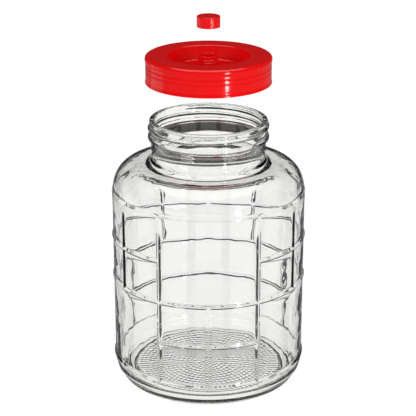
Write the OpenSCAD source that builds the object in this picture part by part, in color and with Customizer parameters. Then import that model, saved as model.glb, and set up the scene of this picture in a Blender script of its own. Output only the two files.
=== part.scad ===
// Fermentation jar: a clear glass jar with a moulded grid of ribs and a wide threaded
// mouth, a screw lid with a sunken water pan and a threaded spout, and a small screw
// cap for the spout. Water in the pan covers the loose cap, so gas leaves and no air
// comes in.
// The lid and the cap are unscrewed and stand straight above their threads.
// The origin is the middle of the jar's underside, +Z is up, and -Y is the plain panel.

/* [Jar body] */
// Diameter of the body over its ribs
body_d = 197; // [192:1:210]
// Height from the table to the rim
jar_h = 272; // [250:1:300]
// Thickness of the body's glass
wall_t = 4; // [3:0.5:6]
// Thickness of the glass floor over the foot
floor_t = 7; // [5:0.5:10]
// Diameter of the flat foot ring, outside
foot_d = 175; // [165:1:178]
// Width of the flat foot ring
foot_w = 9; // [8:1:24]
// Rise of the hollow under the floor
punt_h = 3; // [1:0.5:4]
// Radius between the foot and the slope above it
foot_r = 3; // [2:0.5:4]
// Radius inside the heel, between the floor and the wall
heel_in_r = 14; // [12:1:20]
// Height of the line where the slope meets the heel
heel_line_h = 9.5; // [7:0.5:13]
// Diameter of the jar at that line
heel_line_d = 190.5; // [188:0.5:191]

/* [Shoulder and neck] */
// Height of the rounded shoulder
shoulder_h = 25.5; // [20:0.5:32]
// Width of the rounded shoulder, seen from above
shoulder_w = 23.5; // [18:0.5:24]
// Height from the top of the shoulder to the rim
neck_h = 44.6; // [40:0.2:56]
// Diameter of the neck under its bead
neck_d = 115; // [113:0.5:116.5]
// Radius of the hollow between shoulder and neck
root_r = 8; // [6:0.5:12]
// Diameter of the mouth's bore
mouth_d = 107; // [100:0.5:109]
// Diameter of the neck's wall under its thread
finish_d = 118.4; // [118:0.1:118.8]
// Radius on the rim's two edges
rim_r = 1.6; // [1:0.1:1.8]
// Height of the bead round the neck
bead_h = 5.6; // [4:0.2:6]
// Depth of the bead's middle below the rim
bead_drop = 17.7; // [17.2:0.1:20]
// Bevel on the bead's upper edge
bead_bevel = 0.6; // [0.4:0.1:0.8]

/* [Grid of ribs] */
// How far the shoulder's foot lies inside the panels
shoulder_step = 0.6; // [0.2:0.1:1.2]
// How far the ribs stand out of the panels
rib_rise = 1.2; // [0.6:0.1:1.4]
// How far the highest ring stands out of the panels
top_ring_rise = 0.6; // [0.4:0.1:1.4]
// Width of the ribs that go round the jar
rib_w = 5.8; // [2.8:0.1:6.4]
// Height of the lowest ring above the table
heel_z = 22.5; // [18:0.1:30]
// Depth of the highest ring below the shoulder
top_ring_drop = 2.9; // [2:0.1:5]
// Height of the top row of panels
top_row_h = 46.8; // [36:0.2:56]

/* [Jar thread] */
// Diameter over the jar's thread and its bead
thread_d = 121.4; // [121.2:0.1:122]
// Rise of the jar's thread in one turn
pitch = 6; // [5.6:0.1:6.4]
// Turns of the jar's thread
thread_turns = 1.35; // [1:0.05:1.5]
// Depth of the thread's lower end below the rim
thread_drop = 12.2; // [12:0.1:12.6]

/* [Lid] */
// Height of the lid
lid_h = 27; // [25:0.5:30]
// Thickness of the skirt at its waist
skirt_t = 1.3; // [1:0.1:2.5]
// How far the skirt's two edges stand out past its waist
skirt_flare = 0.4; // [0.2:0.1:1]
// Thickness of the flat top
top_t = 2.4; // [1.6:0.1:3]
// Height of the skirt's two thick edges, the upper one under the lid's rounding
lip_h = 1.5; // [1:0.25:2]
// Radius on the lid's top edge
lid_r = 3; // [1:0.25:3.5]
// Space between the jar's thread and the skirt
lid_fit = 0.35; // [0.3:0.05:0.8]
// Turns of the ridge inside the skirt
lid_ridge_turns = 1.1; // [0.8:0.05:1.2]
// Depth of the upper groove round the skirt, below the lid's top
upper_groove_z = 9.8; // [8:0.2:11]
// Depth of the lower groove round the skirt, below the lid's top
lower_groove_z = 14.7; // [13:0.2:17]
// How far the grooves cut into the skirt
groove_d = 0.4; // [0.2:0.05:0.6]
// Width of the grooves
groove_w = 1.2; // [0.6:0.1:1.8]

/* [Water pan] */
// Diameter of the pan at the lid's top
pan_d = 81; // [70:0.5:86]
// Depth of the pan
pan_depth = 14; // [13:0.25:15]
// How far the pan's wall leans inwards
pan_lean = 3; // [1:0.25:5]
// Thickness of the pan
pan_t = 2.2; // [1.6:0.1:3]
// Radius on the pan's upper edge
edge_r = 1.8; // [0.5:0.1:2.2]
// Radius between the pan's wall and its floor
pan_root_r = 1.5; // [1:0.25:3]

/* [Spout] */
// Diameter over the spout's thread
spout_d = 20.4; // [19.4:0.2:24]
// Diameter of the spout's bore
spout_bore_d = 16.4; // [12:0.2:16.8]
// Height of the spout's thread above its wall
spout_thread_t = 0.8; // [0.7:0.05:0.9]
// Rise of the spout's thread in one turn
spout_pitch = 2.5; // [2.4:0.05:2.7]
// Turns of the spout's thread
spout_turns = 2.5; // [1.5:0.1:2.6]
// Depth of the thread's upper end below the spout's top
spout_lead = 2.2; // [1.9:0.1:2.3]
// Bevel on the spout's upper edge
spout_bevel = 0.4; // [0.2:0.1:0.6]
// Radius between the spout and the pan's floor
spout_root_r = 3; // [1:0.25:3.5]

/* [Seals] */
// Width of the lid's gasket ring
gasket_w = 9; // [6:0.25:10]
// Thickness of the lid's gasket ring
gasket_t = 2.5; // [1.5:0.1:3]
// Space between the gasket and the skirt
gasket_fit = 0.6; // [0.5:0.1:1]
// Thickness of the cap's liner disc
liner_t = 1.2; // [0.8:0.1:1.5]
// Space between the liner and the cap's wall
liner_fit = 0.4; // [0.2:0.1:0.6]
// Space left at a seal when it is screwed down
seal_gap = 0.1; // [0.05:0.05:0.3]

/* [Spout cap] */
// Height of the cap
cap_h = 11; // [10.5:0.25:12]
// Thickness of the cap's wall
cap_t = 1.05; // [0.9:0.05:2]
// Thickness of the cap's top
cap_top_t = 1.5; // [1:0.1:2]
// Radius on the cap's top edge
cap_r = 0.8; // [0.2:0.1:0.9]
// Space between the spout's thread and the cap's wall
cap_fit = 0.25; // [0.2:0.05:0.5]
// Turns of the ridge inside the cap
cap_ridge_turns = 2; // [1:0.1:2.1]

/* [Unscrewed] */
// Turns that lift the lid from shut to where it is drawn
lid_turns = 10; // [0:0.25:14]
// Turns that lift the cap from shut to where it is drawn
cap_turns = 14.5; // [0:0.25:20]

/* [Hidden] */
$fn = 96;

// Steps of an arc drawn in a section
arc_steps = 10;
// Angle between two columns of the grid
column = 30;
// How far an end runs into what it meets
bite = 0.5;
// Steps of one turn of the jar's thread, and of the spout's
turn_steps = 48;
spout_steps = 24;

// The jar, from its foot up
body_r = body_d / 2;
panel_r = body_r - rib_rise;
shoulder_r = panel_r - shoulder_step;
foot_out = foot_d / 2;
neck_r = neck_d / 2;
mouth_r = mouth_d / 2;
finish_r = finish_d / 2;
thread_r = thread_d / 2;
neck_t = neck_r - mouth_r;
shoulder_z = jar_h - neck_h;
body_top = shoulder_z - shoulder_h;
bead_z = jar_h - bead_drop;
thread_z = jar_h - thread_drop;

// The heights of the grid's rings, from the heel up to the shoulder
top_ring_z = body_top - top_ring_drop;
row_h = (top_ring_z - top_row_h - heel_z) / 3;
ring_z = [for (i = [0:3]) heel_z + i * row_h, top_ring_z];
rib_r = rib_w / 2;
rib_axis = body_r - rib_r;
upright_r = rib_r - 0.1;

// The thread's own section: its width at the wall and at its crest
thread_base = 0.5 * pitch;
thread_crest = 0.22 * pitch;

// The lid, measured from its own lower edge
skirt_in = thread_r + lid_fit;
waist_r = skirt_in + skirt_t;
lid_out = waist_r + skirt_flare;
gasket_z = lid_h - top_t - gasket_t;
lid_shut_z = jar_h + seal_gap - gasket_z;
lid_lift = lid_turns * pitch;
lid_ridge_tip = finish_r + 0.1 * pitch;
lid_ridge_z = thread_z + pitch / 2 - lid_shut_z;
pan_r = pan_d / 2;
pan_floor = lid_h - pan_depth;

// The spout and its cap, the cap measured from its own lower edge
spout_r = spout_d / 2;
spout_wall = spout_r - spout_thread_t;
spout_bore = spout_bore_d / 2;
spout_base = 0.5 * spout_pitch;
spout_crest = 0.2 * spout_pitch;
spout_thread_z = lid_h - spout_lead - spout_turns * spout_pitch;
cap_in = spout_r + cap_fit;
cap_out = cap_in + cap_t;
cap_depth = cap_h - cap_top_t - liner_t;
cap_shut_z = lid_h + seal_gap - cap_depth;
cap_lift = cap_turns * spout_pitch;
cap_ridge_tip = spout_wall + 0.12 * spout_pitch;
cap_ridge_z = spout_thread_z + spout_pitch / 2 - cap_shut_z;

// Points along an elliptical arc about (x, y)
function arc(x, y, rx, ry, from, to) =
    [for (i = [0:arc_steps]) let (a = from + (to - from) * i / arc_steps)
        [x + rx * cos(a), y + ry * sin(a)]];

// Radius of a ridge's free edge at step i: buried at both ends of its run
function tip_at(i, n, wall, tip, lead) =
    let (sunk = wall - bite / 2 * sign(tip - wall))
        sunk + (tip - sunk) * min(1, i / lead, (n - i) / lead);

// A thread ridge: a trapezoid that climbs a right-handed helix from z = 0
module ridge(wall, tip, rise, turns, base, crest, per_turn) {
    n = ceil(turns * per_turn);
    lead = per_turn / 12;
    root = wall - bite * sign(tip - wall);
    outward = tip > wall;
    rings = [for (i = [0:n])
        let (a = 360 * turns * i / n, z = rise * turns * i / n, t = tip_at(i, n, wall, tip, lead),
             near = outward ? [root, base] : [t, crest], far = outward ? [t, crest] : [root, base])
            for (c = [[near[0], -near[1]], [far[0], -far[1]], far, near])
                [c[0] * cos(a), c[0] * sin(a), z + c[1] / 2]];
    sides = [for (i = [0:n - 1], k = [0:3])
        let (a = 4 * i + k, b = 4 * i + (k + 1) % 4)
            for (t = [[a, b, b + 4], [a, b + 4, a + 4]]) t];
    polyhedron(points = rings,
               faces = concat([[3, 2, 1, 0]], sides, [[for (k = [0:3]) 4 * n + k]]));
}

// Half of the jar's wall, cut through its axis
module jar_section() {
    inner_r = panel_r - wall_t;
    punt_r = foot_out - foot_w;
    outside = concat(
        [[0, punt_h], [punt_r - punt_h, punt_h], [punt_r, 0]],
        arc(foot_out, foot_r, foot_r, foot_r, -90, -30),
        [[heel_line_d / 2, heel_line_h], [panel_r, heel_z], [panel_r, top_ring_z],
         [shoulder_r, top_ring_z + shoulder_step]],
        arc(shoulder_r - shoulder_w, body_top, shoulder_w, shoulder_h, 0, 90),
        arc(neck_r + root_r, shoulder_z + root_r, root_r, root_r, 270, 180),
        arc(neck_r, bead_z, thread_r - neck_r, bead_h / 2, -90, 0),
        [[thread_r - bead_bevel, bead_z + bead_h / 2 - bead_bevel], [finish_r, bead_z + bead_h / 2]],
        arc(finish_r - rim_r, jar_h - rim_r, rim_r, rim_r, 0, 90));
    inside = concat(
        arc(mouth_r + rim_r, jar_h - rim_r, rim_r, rim_r, 90, 180),
        arc(neck_r + root_r, shoulder_z + root_r, root_r + neck_t, root_r + neck_t, 180, 270),
        arc(shoulder_r - shoulder_w, body_top,
            inner_r - shoulder_r + shoulder_w, shoulder_h - neck_t, 90, 0),
        arc(inner_r - heel_in_r, floor_t + heel_in_r, heel_in_r, heel_in_r, 0, -90),
        [[0, floor_t]]);
    polygon(concat(outside, inside));
}

// A rib round the jar between two columns
module ring_rib(z, from, to, rise = rib_rise) {
    past = to - from < 360 ? bite / body_r * 180 / PI : 0;
    translate([0, 0, z]) rotate([0, 0, from - past])
        rotate_extrude(angle = to - from + 2 * past)
            translate([panel_r + rise - rib_r, 0]) circle(r = rib_r);
}

// An upright rib between two rings, at an angle from the front
module upright_rib(angle, low, high) {
    rotate([0, 0, angle - 90]) translate([rib_axis, 0, low]) cylinder(r = upright_r, h = high - low);
}

// The front is the wide plain panel: the second ring stops at its two sides
module rib_grid() {
    for (z = [ring_z[0], ring_z[2]]) ring_rib(z, 0, 360);
    ring_rib(ring_z[4], 0, 360, top_ring_rise);
    ring_rib(ring_z[3], column - 90, 270 - column);
    ring_rib(ring_z[1], -column - 90, column - 90);
    ring_rib(ring_z[1], 4 * column - 90, 270 - 4 * column);
    for (side = [-1, 1]) {
        upright_rib(side * column, ring_z[0], ring_z[4]);
        upright_rib(side * 2 * column, ring_z[2], ring_z[4]);
        upright_rib(side * 4 * column, ring_z[0], ring_z[2]);
        upright_rib(side * 5 * column, ring_z[2], ring_z[4]);
    }
    upright_rib(0, ring_z[0], ring_z[2]);
    upright_rib(180, ring_z[2], ring_z[4]);
}

// One moulding of clear glass
module glass_jar() {
    color([0.86, 0.9, 0.88, 0.35]) union() {
        rotate_extrude() jar_section();
        rib_grid();
        translate([0, 0, thread_z])
            ridge(finish_r, thread_r, pitch, thread_turns, thread_base, thread_crest, turn_steps);
    }
}

// Where the lid stands once it is unscrewed, and where the cap does above it
module unscrewed_lid() {
    translate([0, 0, lid_shut_z + lid_lift]) rotate([0, 0, 360 * lid_turns]) children();
}
module unscrewed_cap() {
    unscrewed_lid() translate([0, 0, cap_shut_z + cap_lift]) rotate([0, 0, 360 * cap_turns]) children();
}

// Half of the lid's wall, cut through its axis: skirt, flat top, pan and spout
module lid_section() {
    under_top = lid_h - top_t;
    wall_foot = pan_r - pan_lean;
    under_pan = pan_floor - pan_t;
    upper_lip_z = lid_h - lid_r - lip_h;
    skirt = concat(
        [[skirt_in, 0], [lid_out, 0], [lid_out, lip_h], [waist_r, 2 * lip_h],
         [waist_r, upper_lip_z - lip_h], [lid_out, upper_lip_z]],
        arc(lid_out - lid_r, lid_h - lid_r, lid_r, lid_r, 0, 90));
    basin = concat(
        arc(pan_r + edge_r, lid_h - edge_r, edge_r, edge_r, 90, 180),
        arc(wall_foot - pan_root_r, pan_floor + pan_root_r, pan_root_r, pan_root_r, 0, -90),
        arc(spout_wall + spout_root_r, pan_floor + spout_root_r, spout_root_r, spout_root_r, 270, 180),
        [[spout_wall, lid_h - spout_bevel], [spout_wall - spout_bevel, lid_h],
         [spout_bore, lid_h], [spout_bore, under_pan]]);
    underside = [
        [wall_foot, under_pan], [wall_foot + pan_t, under_pan + pan_t],
        [pan_r + pan_t, under_top], [skirt_in, under_top]];
    polygon(concat(skirt, basin, underside));
}

// One moulding of glossy plastic
module lid() {
    color([0.85, 0.05, 0.05]) unscrewed_lid() difference() {
        union() {
            rotate_extrude() lid_section();
            translate([0, 0, lid_ridge_z])
                ridge(skirt_in, lid_ridge_tip, pitch, lid_ridge_turns,
                      thread_base, thread_crest, turn_steps);
            translate([0, 0, spout_thread_z])
                ridge(spout_wall, spout_r, spout_pitch, spout_turns, spout_base, spout_crest, spout_steps);
        }
        for (drop = [upper_groove_z, lower_groove_z]) translate([0, 0, lid_h - drop])
            rotate_extrude() translate([waist_r - groove_d, -groove_w / 2])
                square([groove_d + skirt_flare + bite, groove_w]);
    }
}

// A flat ring of soft rubber under the lid's top
module lid_gasket() {
    gasket_out = skirt_in - gasket_fit;
    color([0.9, 0.9, 0.86]) unscrewed_lid() translate([0, 0, gasket_z]) difference() {
        cylinder(r = gasket_out, h = gasket_t);
        translate([0, 0, -bite]) cylinder(r = gasket_out - gasket_w, h = gasket_t + 2 * bite);
    }
}

// A small moulded cap that screws over the spout
module spout_cap() {
    color([0.85, 0.05, 0.05]) unscrewed_cap() union() {
        rotate_extrude() polygon(concat(
            [[cap_in, 0], [cap_out, 0]],
            arc(cap_out - cap_r, cap_h - cap_r, cap_r, cap_r, 0, 90),
            [[0, cap_h], [0, cap_h - cap_top_t], [cap_in, cap_h - cap_top_t]]));
        translate([0, 0, cap_ridge_z])
            ridge(cap_in, cap_ridge_tip, spout_pitch, cap_ridge_turns,
                  spout_base, spout_crest, spout_steps);
    }
}

// A disc of foam that seals the cap on the spout's edge
module cap_liner() {
    color([0.93, 0.93, 0.9]) unscrewed_cap() translate([0, 0, cap_depth])
        cylinder(r = cap_in - liner_fit, h = liner_t);
}

glass_jar();
lid();
lid_gasket();
spout_cap();
cap_liner();
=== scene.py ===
import math

import bmesh
import bpy
from mathutils import Matrix, Vector, noise


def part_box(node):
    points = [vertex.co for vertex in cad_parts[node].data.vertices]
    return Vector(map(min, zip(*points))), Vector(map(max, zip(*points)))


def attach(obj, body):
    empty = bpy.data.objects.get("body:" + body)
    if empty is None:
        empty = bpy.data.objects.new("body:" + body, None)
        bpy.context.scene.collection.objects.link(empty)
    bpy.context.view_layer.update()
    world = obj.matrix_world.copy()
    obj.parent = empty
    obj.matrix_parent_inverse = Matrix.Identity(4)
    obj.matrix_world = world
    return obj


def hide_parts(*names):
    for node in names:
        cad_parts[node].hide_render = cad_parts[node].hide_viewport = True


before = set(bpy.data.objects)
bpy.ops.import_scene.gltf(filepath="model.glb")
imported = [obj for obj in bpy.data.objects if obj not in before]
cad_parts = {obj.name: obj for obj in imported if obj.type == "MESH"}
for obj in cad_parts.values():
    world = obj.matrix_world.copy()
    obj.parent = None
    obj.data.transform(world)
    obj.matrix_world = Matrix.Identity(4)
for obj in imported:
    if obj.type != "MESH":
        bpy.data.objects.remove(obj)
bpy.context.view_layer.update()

# Camera
# It stands in front of the jar and looks down on it through a long lens, so that the
# mouth, the lid's pan and the cap's top all show as ellipses.
stand_off = 1.387
eye_side = -0.0005
eye_height = 0.6828
look_down = math.radians(20.03)
film_width, focal_length = 36, 125.5
glass_bounces = 24
camera_data = bpy.data.cameras.new("camera")
camera_data.sensor_width = film_width
camera_data.lens = focal_length
camera = bpy.data.objects.new("camera", camera_data)
camera.location = (eye_side, -stand_off, eye_height)
camera.rotation_euler = (math.pi / 2 - look_down, 0, 0)
scene = bpy.context.scene
scene.collection.objects.link(camera)
scene.camera = camera
scene.view_settings.view_transform = "Standard"
scene.cycles.max_bounces = glass_bounces
scene.cycles.transmission_bounces = glass_bounces

# Studio light
# Two soft boxes stand in front of the jar, one at each side, and a lit card far to its left.
# A narrow strip lamp at the right gives the bright line that runs down the lid's skirt.
soft_box_away, soft_box_up = 1.15, 0.85
soft_box_size = (0.8, 0.8)
card_place, card_size = (-1.2, 0.35, 0.12), (0.8, 0.5)
strip_size = (0.11, 0.34)
strip_place = (0.60, -0.94, strip_size[1] / 2)


def lamp(name, place, aim_z, size, watts):
    """An area lamp that faces a point on the jar's axis, and that the camera doesn't see."""
    light = bpy.data.lights.new(name, "AREA")
    light.shape = "RECTANGLE"
    light.size, light.size_y = size
    light.energy = watts
    stand = bpy.data.objects.new(name, light)
    stand.location = place
    aim = Vector((0, 0, aim_z)) - Vector(place)
    stand.rotation_euler = aim.to_track_quat("-Z", "Y").to_euler()
    stand.visible_camera = False
    scene.collection.objects.link(stand)
    return stand


for side in (-1, 1):
    soft_box_place = (soft_box_away * side, -soft_box_away, soft_box_up)
    soft_box = lamp("soft_box", soft_box_place, aim_z=0.25, size=soft_box_size, watts=5)
    soft_box.visible_glossy = False
lamp("side_card", card_place, aim_z=0.3, size=card_size, watts=0.6)
lamp("strip_lamp", strip_place, aim_z=0.2, size=strip_size, watts=2.4)

# Surroundings
# Broad white lamps stand in a ring, with a dark gap between each two, under a dark ceiling
# with a light in its middle. The gaps and the ceiling give clear glass its dark lines.
ring_lamps = 8
gap_edge = (-0.80, -0.66)
gap_grey = 0.02
ground_edge = (-36, -29)
ceiling_edge = (-10, -7)
ceiling_grey = 0.03
overhead_edge, overhead_grey = (32, 45), 0.8
top_edge, top_light = (50, 58), 2.0
mirror_grey = 0.22
ambient = 0.78


def feed(tree, socket, given):
    """Links a socket to another one, or sets its value."""
    if isinstance(given, bpy.types.NodeSocket):
        tree.links.new(given, socket)
    else:
        socket.default_value = given


def math_node(tree, operation, *inputs):
    """One step of arithmetic on sockets and numbers."""
    made = tree.nodes.new("ShaderNodeMath")
    made.operation = operation
    for socket, given in zip(made.inputs, inputs):
        feed(tree, socket, given)
    return made.outputs[0]


def mixed(tree, share, first, second):
    """A number that runs from the first to the second as share goes from 0 to 1."""
    made = tree.nodes.new("ShaderNodeMix")
    for name, given in (("Factor", share), ("A", first), ("B", second)):
        feed(tree, made.inputs[name], given)
    return made.outputs["Result"]


def stepped(tree, value, edge, low, high):
    """A smooth step from the low number to the high one, as a value crosses an edge."""
    made = tree.nodes.new("ShaderNodeMapRange")
    made.interpolation_type = "SMOOTHSTEP"
    for name, given in (("Value", value), ("From Min", edge[0]), ("From Max", edge[1]),
                        ("To Min", low), ("To Max", high)):
        feed(tree, made.inputs[name], given)
    return made.outputs["Result"]


world = bpy.data.worlds.new("studio")
world.use_nodes = True
world.cycles.sampling_method = "NONE"
scene.world = world
sky = world.node_tree
way = sky.nodes.new("ShaderNodeSeparateXYZ")
sky.links.new(sky.nodes.new("ShaderNodeTexCoord").outputs["Generated"], way.inputs[0])


def by_height(edge, low, high):
    """A smooth step from the low number to the high one, between two angles above the horizon."""
    sines = [math.sin(math.radians(angle)) for angle in edge]
    return stepped(sky, way.outputs["Z"], sines, low, high)


azimuth = math_node(sky, "ARCTAN2", way.outputs["X"], way.outputs["Y"])
beat = math_node(sky, "COSINE", math_node(sky, "MULTIPLY", azimuth, float(ring_lamps)))
ring_of_lamps = stepped(sky, beat, gap_edge, gap_grey, 1.0)
around = mixed(sky, by_height(ground_edge, 0.0, 1.0), 1.0, ring_of_lamps)
above = by_height(ceiling_edge, 0.0, 1.0)
through_glass = mixed(sky, above, around, by_height(overhead_edge, ceiling_grey, overhead_grey))
in_gloss = mixed(sky, above, mirror_grey, by_height(top_edge, ceiling_grey, top_light))
ray = sky.nodes.new("ShaderNodeLightPath")
strength = mixed(sky, ray.outputs["Is Glossy Ray"], ambient, in_gloss)
strength = mixed(sky, ray.outputs["Is Transmission Ray"], strength, through_glass)
strength = mixed(sky, ray.outputs["Is Camera Ray"], strength, 1.0)
feed(sky, sky.nodes["Background"].inputs["Strength"], strength)
feed(sky, sky.nodes["Background"].inputs["Color"], (1, 1, 1, 1))

# Floor
# A plain pale sheet, mostly white to the camera, that keeps the object's shadow.
# Glass and gloss show the lamps in its place.
floor_half = 12.0
floor_albedo = 0.8
floor_white, floor_glow = 0.8, 1.13
floor_mesh = bmesh.new()
bmesh.ops.create_grid(floor_mesh, x_segments=1, y_segments=1, size=floor_half)
floor_data = bpy.data.meshes.new("floor")
floor_mesh.to_mesh(floor_data)
floor_mesh.free()
floor = bpy.data.objects.new("floor", floor_data)
floor.visible_glossy = False
floor.visible_transmission = False
scene.collection.objects.link(floor)
floor_material = bpy.data.materials.new("studio_floor")
floor_material.use_nodes = True
paper = floor_material.node_tree
paper.nodes.remove(paper.nodes["Principled BSDF"])
matte = paper.nodes.new("ShaderNodeBsdfDiffuse")
matte.inputs["Color"].default_value = (floor_albedo, floor_albedo, floor_albedo, 1)
glow = paper.nodes.new("ShaderNodeEmission")
glow.inputs["Strength"].default_value = floor_glow
ray = paper.nodes.new("ShaderNodeLightPath")
blend = paper.nodes.new("ShaderNodeMixShader")
share = math_node(paper, "MULTIPLY", ray.outputs["Is Camera Ray"], floor_white)
paper.links.new(share, blend.inputs[0])
paper.links.new(matte.outputs[0], blend.inputs[1])
paper.links.new(glow.outputs[0], blend.inputs[2])
paper.links.new(blend.outputs[0], paper.nodes["Material Output"].inputs["Surface"])
floor_data.materials.append(floor_material)

# Glass jar
# One moulding of clear soda glass. Pressed ribs stand on its outside in a grid, the neck
# carries a bead and a single thread, and the hollow under the floor is set with small domes.
jar_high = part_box("glass_jar")[1]
rim_z = jar_high.z
rib_rise = 0.0012
panel_radius = jar_high.x - rib_rise
wall = 0.004
glass_floor_z = 0.007
foot_radius = 0.0875
foot_wide = 0.009
foot_round = 0.003
hollow_radius = foot_radius - foot_wide
hollow_z = 0.003
dome_pitch = 0.0048
dome_high = 0.0013
heel_line = (0.09525, 0.0095)
heel_round = 0.014
shoulder_radius = panel_radius - 0.0006
shoulder_high, shoulder_wide = 0.0255, 0.0235
shoulder_blend = 0.001
neck_tall = 0.0446
shoulder_z = rim_z - neck_tall
shoulder_low_z = shoulder_z - shoulder_high
neck_radius = 0.0575
mouth_radius = 0.0535
neck_wall = neck_radius - mouth_radius
root_round = 0.008
inner_root_round = 0.006
finish_radius = 0.0592
rim_round = 0.0016
thread_radius = 0.0607
thread_low_z = rim_z - 0.0122
thread_turns = 1.35
thread_pitch = 0.006
thread_base, thread_crest = 0.003, 0.00132
bead_z = rim_z - 0.0177
bead_high = 0.0056
bead_flat = (0.0004, 0.002)
columns = 12
column_angle = 360 // columns
top_row_high = 0.0468
ring_low_z = 0.0225
ring_top_z = shoulder_low_z - 0.0029
row_high = (ring_top_z - top_row_high - ring_low_z) / 3
ring_z = [ring_low_z + row_high * i for i in range(4)] + [ring_top_z]
# The angles from the front between which a ring is left out, by the ring's number
ring_gaps = {1: (column_angle, 4 * column_angle), 3: (-1, column_angle)}
# The two rings between which an upright stands, by its column's number from the front
column_rows = {0: (0, 2), 1: (0, 4), 2: (2, 4), 4: (0, 2), 5: (2, 4), 6: (2, 4)}
rib_steep, rib_gentle = 0.0026, 0.0038
ring_steep = 0.0021
rib_fillet = 0.15
top_ring_share = 0.5
rib_fade = 0.008
dome_step, finish_step, ring_step, gentle_step, panel_step = 0.0012, 0.0007, 0.00035, 0.0008, 0.014
inner_step = 0.008
inner_wave_low_z = 0.02
inner_waves = [(0.0003, 25), (0.00006, 70)]
weld_gap = 1e-6
near, touching = 0.0001, 0.00001


def arc(centre, radii, start, end, steps):
    """Points of an elliptical arc in a cut section, from one angle to another."""
    angles = [math.radians(start + (end - start) * i / steps) for i in range(steps + 1)]
    return [(centre[0] + radii[0] * math.cos(a), centre[1] + radii[1] * math.sin(a)) for a in angles]


def spaced(outline, step_at):
    """The outline with more points, as far apart as step_at says for each place."""
    least_share = 0.4
    points = [outline[0]]
    for start, end in zip(outline, outline[1:]):
        length = math.dist(start, end)
        gone = step_at(*start)
        while length - gone > least_share * step_at(*points[-1]):
            share = gone / length
            points.append(tuple(a + (b - a) * share for a, b in zip(start, end)))
            gone += step_at(*points[-1])
        points.append(end)
    return points


def turned(mesh, outline, spans):
    """Spins an outline of (radius, height) points round the Z axis, and returns the new points.
    The spans, each an angle and its steps, fill one of the equal columns."""
    counts = [len(part) for part in (mesh.verts, mesh.edges, mesh.faces)]
    line = [mesh.verts.new((0, -r, z)) for r, z in outline]
    line += [mesh.edges.new(pair) for pair in zip(line, line[1:])]
    bmesh.ops.rotate(mesh, verts=line[:len(outline)], cent=(0, 0, 0),
                     matrix=Matrix.Rotation(-math.radians(spans[0][0]) / 2, 3, "Z"))
    for angle, steps in spans:
        line = bmesh.ops.spin(mesh, geom=line, cent=(0, 0, 0), axis=(0, 0, 1), dvec=(0, 0, 0),
                              angle=math.radians(angle), steps=steps, use_duplicate=False)["geom_last"]
    column = []
    for part, count in zip((mesh.verts, mesh.edges, mesh.faces), counts):
        part.ensure_lookup_table()
        column += part[count:]
    bmesh.ops.spin(mesh, geom=column, cent=(0, 0, 0), axis=(0, 0, 1), dvec=(0, 0, 0),
                   angle=math.radians(360 - column_angle), steps=columns - 1, use_duplicate=True)
    mesh.verts.ensure_lookup_table()
    return mesh.verts[counts[0]:]


def smooth(value):
    """A smooth step from 0 to 1."""
    value = min(1.0, max(0.0, value))
    return value * value * (3 - 2 * value)


def push_out(vert, distance):
    """Moves a point away from the Z axis, or towards it."""
    flat = math.hypot(vert.co.x, vert.co.y)
    vert.co.x *= (flat + distance) / flat
    vert.co.y *= (flat + distance) / flat


def thread_height(vert, low_z, pitch, turns, base, crest, start=0.0):
    """How much of its full height a thread has at a point: a trapezoid on a right-handed helix,
    which starts and ends over a twelfth of a turn."""
    gone = (math.degrees(math.atan2(vert.co.y, vert.co.x)) - start) / 360 % 1
    best = 0.0
    while gone <= turns:
        off = abs(vert.co.z - low_z - pitch * gone)
        lead = smooth(12 * min(gone, turns - gone))
        best = max(best, lead * smooth((base / 2 - off) / (base / 2 - crest / 2)))
        gone += 1
    return best


def rib_section(off, one_side=rib_steep, other_side=rib_gentle):
    """How far a rib stands out, at a distance from its middle: a low roof, rounded at its
    crest and its feet, with a steep side and a gentle one."""
    share = max(0.0, 1 - abs(off) / (one_side if off > 0 else other_side))
    if share < rib_fillet:
        return rib_rise * share ** 2 / (2 * rib_fillet * (1 - rib_fillet))
    if share > 1 - rib_fillet:
        return rib_rise * (1 - (1 - share) ** 2 / (2 * rib_fillet * (1 - rib_fillet)))
    return rib_rise * (share - rib_fillet / 2) / (1 - rib_fillet)


def rib_height(angle, z):
    """How far the ribs stand out, by the angle in degrees from the front and the height.
    The uprights at the front and the back are gentle on both sides."""
    turn = abs(angle)
    rise = 0.0
    for index, ring in enumerate(ring_z):
        gap_start, gap_end = ring_gaps.get(index, (0, 0))
        if not gap_start < turn < gap_end:
            share = top_ring_share if ring == ring_top_z else 1
            rise = max(rise, share * rib_section(ring - z, ring_steep))
    column = round(turn / column_angle)
    low, high = column_rows.get(column, (4, 4))
    if ring_z[low] <= z <= ring_z[high]:
        off = math.radians(turn - column_angle * column) * panel_radius
        fade = smooth((ring_top_z - z) / rib_fade)
        one_side = rib_steep if column % 6 else rib_gentle
        rise = max(rise, fade * rib_section(off, one_side))
    return rise


def outside_step(radius, z):
    """How close the points of the outside lie: closest on the ribs, the thread and the domes."""
    if z < heel_line[1]:
        return dome_step
    if z > bead_z - bead_high / 2:
        return finish_step
    above = min((ring - z for ring in ring_z if ring > z + touching), default=1.0)
    below = min((z - ring for ring in ring_z if ring <= z + touching), default=1.0)
    if above < ring_steep + 2 * near:
        return ring_step
    return min(panel_step, above - ring_steep, max(gentle_step, below - rib_gentle))


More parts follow.
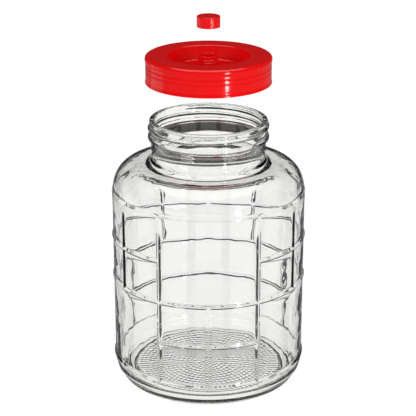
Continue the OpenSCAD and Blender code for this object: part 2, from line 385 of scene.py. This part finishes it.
def domed_disc(mesh, radius, z, border):
    """The hollow's flat top with its domes, which stand in rings a pitch apart both ways.
    Four circles make each ring, and the last circle is joined to the border's edges."""
    rings = int(radius / dome_pitch)
    inner = []
    for step in range(4 * rings + 3):
        count = max(6, round(math.tau * round(step / 4)))
        flat = (step + 1) * dome_pitch / 4
        circle = bmesh.ops.create_circle(mesh, segments=4 * count, radius=flat, cap_ends=step == 0,
                                         matrix=Matrix.Translation((0, 0, z)))["verts"]
        across = 0.5 - 0.5 * math.cos(math.tau * (step + 3) / 4)
        for vert in circle:
            angle = math.atan2(vert.co.y, vert.co.x)
            vert.co.z -= dome_high * across * (0.5 + 0.5 * math.cos(count * angle))
        outer = list(dict.fromkeys(edge for vert in circle for edge in vert.link_edges))
        if inner:
            bmesh.ops.bridge_loops(mesh, edges=inner + outer)
        inner = outer
    bmesh.ops.bridge_loops(mesh, edges=inner + border)


jar_outside = (
    [(hollow_radius - hollow_z, hollow_z), (hollow_radius, 0)]
    + arc((foot_radius, foot_round), (foot_round, foot_round), -90, -30, 5)
    + [heel_line, (panel_radius, ring_low_z), (panel_radius, ring_top_z - shoulder_blend),
       (shoulder_radius, shoulder_low_z + shoulder_blend)]
    + arc((shoulder_radius - shoulder_wide, shoulder_low_z), (shoulder_wide, shoulder_high), 3, 90, 16)
    + arc((neck_radius + root_round, shoulder_z + root_round), (root_round, root_round), 270, 180, 10)
    + arc((neck_radius, bead_z), (thread_radius - neck_radius, bead_high / 2), -90, 0, 6)
    + [(thread_radius - bead_flat[0], bead_z + bead_flat[1]), (finish_radius, bead_z + bead_high / 2)]
    + arc((finish_radius - rim_round, rim_z - rim_round), (rim_round, rim_round), 0, 90, 5))
inner_radius = panel_radius - wall
root_centre = (mouth_radius + inner_root_round, shoulder_z - neck_wall + inner_root_round)
jar_inside = (
    [(finish_radius - rim_round, rim_z)]
    + arc((mouth_radius + rim_round, rim_z - rim_round), (rim_round, rim_round), 90, 180, 5)
    + arc(root_centre, (inner_root_round, inner_root_round), 180, 270, 10)
    + arc((shoulder_radius - shoulder_wide, shoulder_low_z),
          (inner_radius - shoulder_radius + shoulder_wide, shoulder_high - neck_wall), 90, 0, 14)
    + arc((inner_radius - heel_round, glass_floor_z + heel_round), (heel_round, heel_round), 0, -90, 10)
    + [(0, glass_floor_z)])

# Fine steps across an upright, and wider ones across the panel beside it
jar_spans = [(4.8, 14), (25.2, 12)]
jar_mesh = bmesh.new()
for vert in turned(jar_mesh, spaced(jar_outside, outside_step), jar_spans):
    flat = math.hypot(vert.co.x, vert.co.y)
    if vert.co.z < shoulder_low_z and flat > inner_radius:
        angle = math.degrees(math.atan2(vert.co.x, -vert.co.y))
        push_out(vert, rib_height(angle, vert.co.z))
    elif vert.co.z > bead_z and flat < finish_radius + near:
        share = thread_height(vert, thread_low_z, thread_pitch, thread_turns, thread_base, thread_crest)
        push_out(vert, (thread_radius - finish_radius) * share)
for vert in turned(jar_mesh, spaced(jar_inside, lambda radius, z: inner_step), jar_spans):
    if inner_wave_low_z < vert.co.z < shoulder_z:
        push_out(vert, sum(high * noise.noise(vert.co * scale) for high, scale in inner_waves))
bmesh.ops.remove_doubles(jar_mesh, verts=jar_mesh.verts, dist=weld_gap)
border = [edge for edge in jar_mesh.edges if edge.is_boundary]
domed_disc(jar_mesh, hollow_radius - hollow_z, hollow_z, border)


def placed(name, mesh, body, node, material):
    """Makes the piece from its mesh: smooth, in its own finish, and on the body that carries it."""
    bmesh.ops.recalc_face_normals(mesh, faces=mesh.faces)
    for face in mesh.faces:
        face.smooth = True
    data = bpy.data.meshes.new(name)
    mesh.to_mesh(data)
    mesh.free()
    data.materials.append(material)
    piece = bpy.data.objects.new(name, data)
    scene.collection.objects.link(piece)
    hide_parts(node)
    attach(piece, body)


def clear_glass():
    """Soda glass: clear, a little grey where it is thick, with the faint waves of moulded glass."""
    material = bpy.data.materials.new("clear_glass")
    material.use_nodes = True
    tree = material.node_tree
    end = tree.nodes["Material Output"]
    glass = tree.nodes["Principled BSDF"]
    glass.inputs["Base Color"].default_value = (0.985, 0.99, 0.985, 1)
    glass.inputs["Roughness"].default_value = 0.0
    glass.inputs["IOR"].default_value = 1.52
    glass.inputs["Transmission Weight"].default_value = 1.0
    waves = tree.nodes.new("ShaderNodeTexNoise")
    waves.inputs["Scale"].default_value = 55.0
    waves.inputs["Detail"].default_value = 1.0
    tree.links.new(tree.nodes.new("ShaderNodeTexCoord").outputs["Object"], waves.inputs["Vector"])
    bump = tree.nodes.new("ShaderNodeBump")
    bump.inputs["Strength"].default_value = 0.25
    bump.inputs["Distance"].default_value = 0.001
    tree.links.new(waves.outputs["Fac"], bump.inputs["Height"])
    tree.links.new(bump.outputs["Normal"], glass.inputs["Normal"])
    ray = tree.nodes.new("ShaderNodeLightPath")
    open_way = tree.nodes.new("ShaderNodeBsdfTransparent")
    open_way.inputs["Color"].default_value = (0.9, 0.9, 0.9, 1)
    either = tree.nodes.new("ShaderNodeMixShader")
    tree.links.new(ray.outputs["Is Shadow Ray"], either.inputs[0])
    tree.links.new(glass.outputs[0], either.inputs[1])
    tree.links.new(open_way.outputs[0], either.inputs[2])
    tree.links.new(either.outputs[0], end.inputs["Surface"])
    depth = tree.nodes.new("ShaderNodeVolumeAbsorption")
    depth.inputs["Color"].default_value = (0.52, 0.56, 0.40, 1)
    depth.inputs["Density"].default_value = 9.0
    tree.links.new(depth.outputs[0], end.inputs["Volume"])
    return material


placed("jar_glass", jar_mesh, "jar", "glass_jar", clear_glass())

# Lid
# One moulding of red plastic. Its skirt has two lips and two grooves outside and a thread
# ridge inside, and a threaded spout stands in the middle of the pan that its top sinks to.
lid_low, lid_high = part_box("lid")
lid_radius = lid_high.x
lid_tall = lid_high.z - lid_low.z
waist_radius = lid_radius - 0.0004
skirt_inside = waist_radius - 0.0013
edge_round = 0.0003
lid_round = 0.003
lip_high = 0.0015
upper_lip_z = lid_tall - lid_round - lip_high
under_top_z = lid_tall - 0.0024
groove_z = [lid_tall - 0.0147, lid_tall - 0.0098]
groove_deep, groove_half = 0.0004, 0.0006
pan_radius = 0.0405
pan_foot = pan_radius - 0.003
pan_floor_z = lid_tall - 0.014
pan_thick = 0.0022
under_pan_z = pan_floor_z - pan_thick
pan_edge, pan_root = 0.0018, 0.0015
spout_radius, spout_wall, spout_bore = 0.0102, 0.0094, 0.0082
spout_root, spout_bevel = 0.003, 0.0004
spout_pitch, spout_turns = 0.0025, 2.5
spout_base, spout_crest = 0.5 * spout_pitch, 0.2 * spout_pitch
spout_low_z = lid_tall - 0.0022 - spout_turns * spout_pitch
ridge_z, ridge_turns, ridge_deep = 0.0128, 1.1, 0.00125
ripple_deep, ripple_scale = 0.00009, Vector((60, 60, 330))
thread_step, lid_fine_step, lid_wide_step = 0.00028, 0.0007, 0.002
lid_outline = (
    [(skirt_inside, 0)]
    + arc((lid_radius - edge_round, edge_round), (edge_round, edge_round), -90, 0, 3)
    + [(lid_radius, lip_high), (waist_radius, 2 * lip_high)])
for z in groove_z:
    lid_outline += [(waist_radius, z - groove_half), (waist_radius - groove_deep, z - groove_half / 3),
                    (waist_radius - groove_deep, z + groove_half / 3), (waist_radius, z + groove_half)]
lid_outline += (
    [(waist_radius, upper_lip_z - lip_high), (lid_radius, upper_lip_z)]
    + arc((lid_radius - lid_round, lid_tall - lid_round), (lid_round, lid_round), 0, 90, 8)
    + arc((pan_radius + pan_edge, lid_tall - pan_edge), (pan_edge, pan_edge), 90, 180, 8)
    + arc((pan_foot - pan_root, pan_floor_z + pan_root), (pan_root, pan_root), 0, -90, 6)
    + arc((spout_wall + spout_root, pan_floor_z + spout_root), (spout_root, spout_root), 270, 180, 8)
    + [(spout_wall, lid_tall - spout_bevel), (spout_wall - spout_bevel, lid_tall),
       (spout_bore + spout_bevel, lid_tall), (spout_bore, lid_tall - spout_bevel),
       (spout_bore, under_pan_z), (pan_foot, under_pan_z), (pan_foot + pan_thick, pan_floor_z),
       (pan_radius + pan_thick, under_top_z), (skirt_inside, under_top_z), (skirt_inside, 0)])


def lid_step(radius, z):
    """How close the points of the lid lie: closest on the spout's thread."""
    if spout_bore < radius < spout_radius:
        return thread_step
    return lid_fine_step if radius > skirt_inside - near else lid_wide_step


lid_mesh = bmesh.new()
for vert in turned(lid_mesh, spaced(lid_outline, lid_step), [(column_angle, 20)]):
    flat = math.hypot(vert.co.x, vert.co.y)
    if abs(flat - spout_wall) < touching:
        share = thread_height(vert, spout_low_z, spout_pitch, spout_turns, spout_base, spout_crest)
        push_out(vert, (spout_radius - spout_wall) * share)
    elif abs(flat - skirt_inside) < touching:
        share = thread_height(vert, ridge_z, thread_pitch, ridge_turns, thread_base, thread_crest)
        push_out(vert, -ridge_deep * share)
    elif flat > waist_radius - near and vert.co.z < upper_lip_z:
        ripple = noise.noise(vert.co * ripple_scale) - 1
        push_out(vert, ripple_deep * ripple * smooth(vert.co.z / lip_high))
bmesh.ops.remove_doubles(lid_mesh, verts=lid_mesh.verts, dist=weld_gap)
bmesh.ops.translate(lid_mesh, verts=lid_mesh.verts, vec=(0, 0, lid_low.z))


def new_group(name, outputs, **inputs):
    """A node group with its sockets, and its two end nodes."""
    group = bpy.data.node_groups.new(name, "ShaderNodeTree")
    for label, given in inputs.items():
        kind = "NodeSocketColor" if isinstance(given, tuple) else "NodeSocketFloat"
        group.interface.new_socket(label, in_out="INPUT", socket_type=kind).default_value = given
    for label, kind in outputs.items():
        group.interface.new_socket(label, in_out="OUTPUT", socket_type=kind)
    return group, group.nodes.new("NodeGroupInput"), group.nodes.new("NodeGroupOutput")


skin_gives = {"Color": "NodeSocketColor", "Roughness": "NodeSocketFloat", "Height": "NodeSocketFloat"}
skin, skin_in, skin_out = new_group("moulded_skin", skin_gives, Light=(0.8, 0.8, 0.8, 1),
                                    Dark=(0.6, 0.6, 0.6, 1), Gloss=0.2, Wear=0.1, Grain=900.0)
spot = skin.nodes.new("ShaderNodeTexCoord").outputs["Object"]
patches = skin.nodes.new("ShaderNodeTexNoise")
patches.inputs["Scale"].default_value = 45.0
patches.inputs["Detail"].default_value = 3.0
skin.links.new(spot, patches.inputs["Vector"])
grain = skin.nodes.new("ShaderNodeTexNoise")
grain.inputs["Detail"].default_value = 2.0
skin.links.new(spot, grain.inputs["Vector"])
skin.links.new(skin_in.outputs["Grain"], grain.inputs["Scale"])
tint = skin.nodes.new("ShaderNodeMix")
tint.data_type = "RGBA"
skin.links.new(patches.outputs["Fac"], tint.inputs[0])
skin.links.new(skin_in.outputs["Light"], tint.inputs[6])
skin.links.new(skin_in.outputs["Dark"], tint.inputs[7])
worn = math_node(skin, "MULTIPLY_ADD", patches.outputs["Fac"],
                 skin_in.outputs["Wear"], skin_in.outputs["Gloss"])
for label, given in (("Color", tint.outputs[2]), ("Roughness", worn), ("Height", grain.outputs["Fac"])):
    skin.links.new(given, skin_out.inputs[label])


def moulded(name, light, dark, gloss, wear, grain_scale, grain_high):
    """A moulded material: soft patches of two close shades and glosses under a fine grain."""
    material = bpy.data.materials.new(name)
    material.use_nodes = True
    tree = material.node_tree
    surface = tree.nodes["Principled BSDF"]
    group = tree.nodes.new("ShaderNodeGroup")
    group.node_tree = skin
    settings = {"Light": light, "Dark": dark, "Gloss": gloss, "Wear": wear, "Grain": grain_scale}
    for label, given in settings.items():
        group.inputs[label].default_value = given
    tree.links.new(group.outputs["Color"], surface.inputs["Base Color"])
    tree.links.new(group.outputs["Roughness"], surface.inputs["Roughness"])
    bump = tree.nodes.new("ShaderNodeBump")
    bump.inputs["Strength"].default_value = 1.0
    bump.inputs["Distance"].default_value = grain_high
    tree.links.new(group.outputs["Height"], bump.inputs["Height"])
    tree.links.new(bump.outputs["Normal"], surface.inputs["Normal"])
    return material


red_plastic = moulded("red_plastic", light=(0.84, 0.003, 0.003, 1), dark=(0.70, 0.0008, 0.002, 1),
                      gloss=0.07, wear=0.08, grain_scale=700.0, grain_high=0.00001)
placed("lid_body", lid_mesh, "lid", "lid", red_plastic)

# Lid gasket
# A flat ring of milky rubber with softly rounded edges. It is pressed in under the lid's
# top, where the jar's rim bites into it.
gasket_low, gasket_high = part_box("lid_gasket")
gasket_outer = gasket_high.x
gasket_inner = gasket_outer - 0.009
gasket_round = 0.0005
gasket_outline = []
for radius, z, start, inward, upward in (
        (gasket_outer, gasket_low.z, -90, -1, 1), (gasket_outer, gasket_high.z, 0, -1, -1),
        (gasket_inner, gasket_high.z, 90, 1, -1), (gasket_inner, gasket_low.z, 180, 1, 1)):
    gasket_outline += arc((radius + inward * gasket_round, z + upward * gasket_round),
                          (gasket_round, gasket_round), start, start + 90, 4)
gasket_mesh = bmesh.new()
turned(gasket_mesh, gasket_outline + gasket_outline[:1], [(column_angle, 12)])
bmesh.ops.remove_doubles(gasket_mesh, verts=gasket_mesh.verts, dist=weld_gap)
gasket_rubber = moulded("gasket_rubber", light=(0.82, 0.82, 0.76, 1), dark=(0.74, 0.74, 0.68, 1),
                        gloss=0.45, wear=0.15, grain_scale=1500.0, grain_high=0.00003)
placed("gasket_ring", gasket_mesh, "lid_seal", "lid_gasket", gasket_rubber)

# Spout cap
# A small cap moulded in the lid's red plastic, with fine flutes round its side for the
# fingers and a thread ridge inside that screws on to the spout.
cap_low, cap_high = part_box("spout_cap")
cap_radius = cap_high.x
cap_tall = cap_high.z - cap_low.z
cap_inside = cap_radius - 0.00105
cap_under_z = cap_tall - 0.0015
cap_round = 0.0008
cap_ridge_z, cap_ridge_turns, cap_ridge_deep = 0.001, 2, 0.00075
flutes = 60
flute_deep = 0.00008
flute_low, flute_top, flute_run = 0.0005, 0.0009, 0.0006
lining_fine_step, lining_wide_step = 0.0003, 0.001
cap_outline = (
    [(cap_inside, 0)]
    + arc((cap_radius - edge_round, edge_round), (edge_round, edge_round), -90, 0, 3)
    + arc((cap_radius - cap_round, cap_tall - cap_round), (cap_round, cap_round), 0, 90, 6)
    + [(0, cap_tall)])
cap_lining = [(0, cap_under_z), (cap_inside, cap_under_z), (cap_inside, 0)]


def lining_step(radius, z):
    """How close the points of the cap's inside lie: closest on its thread ridge."""
    return lining_fine_step if z < cap_under_z else lining_wide_step


cap_mesh = bmesh.new()
for vert in turned(cap_mesh, spaced(cap_outline, lambda radius, z: lid_fine_step), [(column_angle, 20)]):
    if math.hypot(vert.co.x, vert.co.y) > cap_radius - near:
        ends = smooth((vert.co.z - flute_low) / flute_run)
        ends *= smooth((cap_tall - flute_top - vert.co.z) / flute_run)
        wave = 0.5 - 0.5 * math.cos(flutes * math.atan2(vert.co.y, vert.co.x))
        push_out(vert, -flute_deep * ends * wave)
for vert in turned(cap_mesh, spaced(cap_lining, lining_step), [(column_angle, 20)]):
    if math.hypot(vert.co.x, vert.co.y) > cap_inside - near:
        share = thread_height(vert, cap_ridge_z, spout_pitch, cap_ridge_turns, spout_base, spout_crest, 180)
        push_out(vert, -cap_ridge_deep * share)
bmesh.ops.remove_doubles(cap_mesh, verts=cap_mesh.verts, dist=weld_gap)
bmesh.ops.translate(cap_mesh, verts=cap_mesh.verts, vec=(0, 0, cap_low.z))
placed("cap_body", cap_mesh, "cap", "spout_cap", red_plastic)

# Cap liner
# A disc of white foam, cut to fit inside the cap. It lies against the cap's top and
# seals the spout.
liner_low, liner_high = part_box("cap_liner")
liner_round = 0.0002
liner_edge = liner_high.x - liner_round
liner_outline = (
    [(0, liner_low.z)]
    + arc((liner_edge, liner_low.z + liner_round), (liner_round, liner_round), -90, 0, 3)
    + arc((liner_edge, liner_high.z - liner_round), (liner_round, liner_round), 0, 90, 3)
    + [(0, liner_high.z)])
liner_mesh = bmesh.new()
turned(liner_mesh, liner_outline, [(column_angle, 8)])
bmesh.ops.remove_doubles(liner_mesh, verts=liner_mesh.verts, dist=weld_gap)
liner_foam = moulded("liner_foam", light=(0.90, 0.90, 0.87, 1), dark=(0.84, 0.84, 0.81, 1),
                     gloss=0.7, wear=0.15, grain_scale=2600.0, grain_high=0.00005)
placed("liner_disc", liner_mesh, "cap_seal", "cap_liner", liner_foam)
